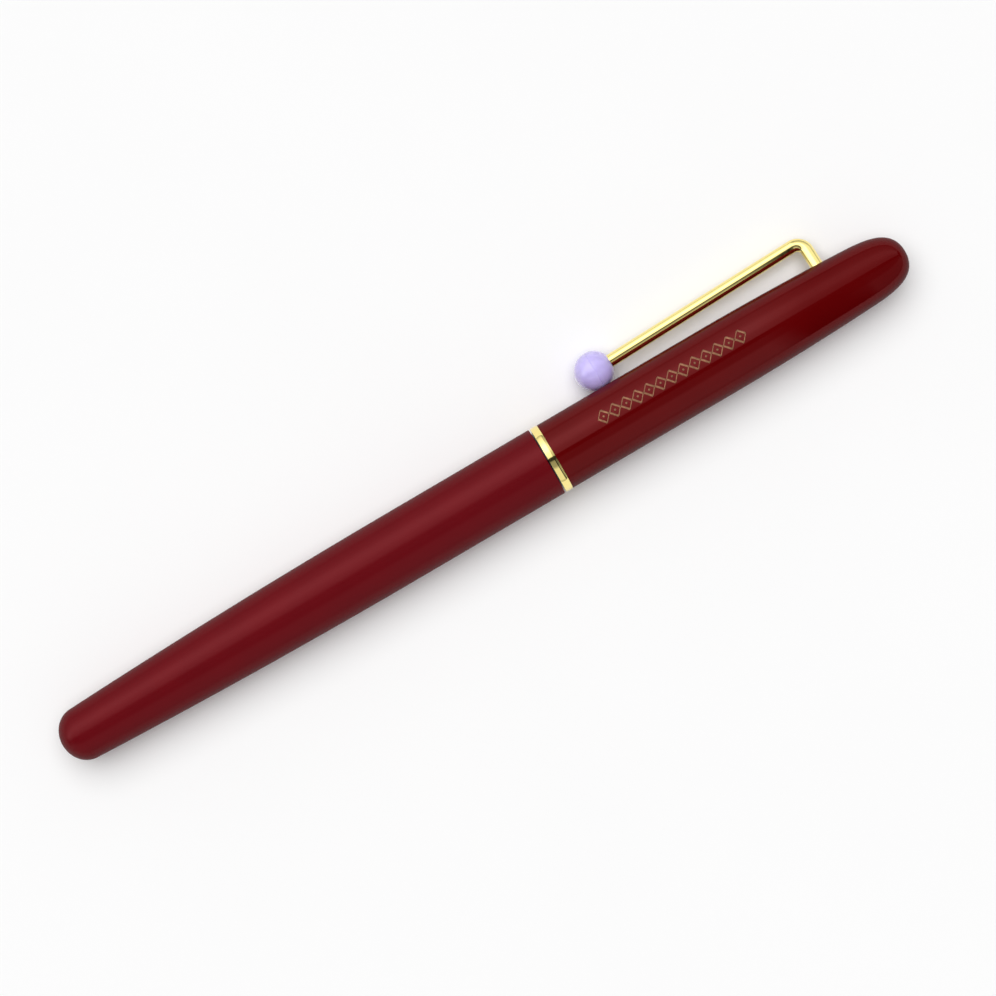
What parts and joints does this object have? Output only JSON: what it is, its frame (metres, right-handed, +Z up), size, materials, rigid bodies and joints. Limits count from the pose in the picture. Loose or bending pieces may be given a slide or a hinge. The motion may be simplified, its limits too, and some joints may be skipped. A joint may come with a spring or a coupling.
{
  "type": "fountain pen",
  "caption": "Capped fountain pen with a rounded lacquered cap and barrel, a thin gold trim ring and a bent-wire clip that ends in a plastic ball; nib, feed and piston converter inside.",
  "frame": {"origin": "on the table under the middle of the capped pen's length and width", "axes": "+X along the pen towards the cap's crown, +Y towards the clip, +Z up from the table"},
  "size_m": [0.14, 0.016, 0.0105],
  "materials": {
    "barrel_lacquer": "satin burgundy lacquer",
    "cap_lacquer": "gloss burgundy lacquer",
    "gold": "polished gold plate",
    "lilac_plastic": "gloss lilac",
    "brass": "turned",
    "steel": "polished",
    "nib_pellet": "ground",
    "black_plastic": "moulded black",
    "grey_plastic": "moulded grey",
    "clear_plastic": "clear moulded plastic",
    "rubber": "soft black"
  },
  "bodies": {
    "section": {"grip_section": "black_plastic", "section_collar": "steel", "nib_housing": "black_plastic", "feed": "black_plastic", "nib": "steel", "nib_tipping": "nib_pellet"},
    "snap_ring": {"snap_ring": "steel"},
    "cap": {"cap_shell": "cap_lacquer", "cap_ring": "gold", "cap_clutch": "steel", "inner_cap": "black_plastic", "clip_anchor": "brass", "clip_screw": "steel"},
    "clip": {"clip_wire": "gold", "clip_ball": "lilac_plastic"},
    "seal": {"section_o_ring": "rubber"},
    "barrel": {"barrel_shell": "barrel_lacquer", "barrel_bush": "brass"},
    "converter": {"converter_tube": "clear_plastic", "converter_band": "steel", "rod_guide": "grey_plastic"},
    "knob": {"converter_knob": "black_plastic"},
    "piston": {"piston_rod": "grey_plastic", "piston_seal": "rubber"}
  },
  "joints": [
    {"name": "cap_turn", "type": "hinge", "parent": "section", "child": "snap_ring", "pos_m": [0.0158, -0.00273, 0.00526], "axis": [1, 0, 0], "continuous": true},
    {"name": "cap_pull", "type": "slide", "parent": "snap_ring", "child": "cap", "axis": [1, 0, 0], "range_m": [0, 0.05]},
    {"name": "clip_flex", "type": "hinge", "parent": "cap", "child": "clip", "pos_m": [0.0583, 0.00186, 0.00388], "axis": [0, -0.2871, -0.9579], "range_deg": [0, 4], "stiffness_Nm_per_rad": 2.5, "springref_deg": -1.15, "deforming": ["clip_wire"]},
    {"name": "barrel_turn", "type": "hinge", "parent": "section", "child": "seal", "pos_m": [0.0099, -0.00273, 0.00526], "axis": [-1, 0, 0], "range_deg": [0, 3168]},
    {"name": "barrel_pull", "type": "slide", "parent": "seal", "child": "barrel", "axis": [-1, 0, 0], "range_m": [0, 0.08]},
    {"name": "converter_pull", "type": "slide", "parent": "section", "child": "converter", "axis": [-1, 0, 0], "range_m": [0, 0.012]},
    {"name": "knob_turn", "type": "hinge", "parent": "converter", "child": "knob", "pos_m": [-0.03, -0.00273, 0.00526], "axis": [1, 0, 0], "range_deg": [0, 2890]},
    {"name": "piston_travel", "type": "slide", "parent": "converter", "child": "piston", "axis": [-1, 0, 0], "range_m": [0, 0.024]}
  ],
  "couplings": [
    {"joint": "knob_turn", "follows": "piston_travel", "rad_per_m": 2094.4}
  ]
}
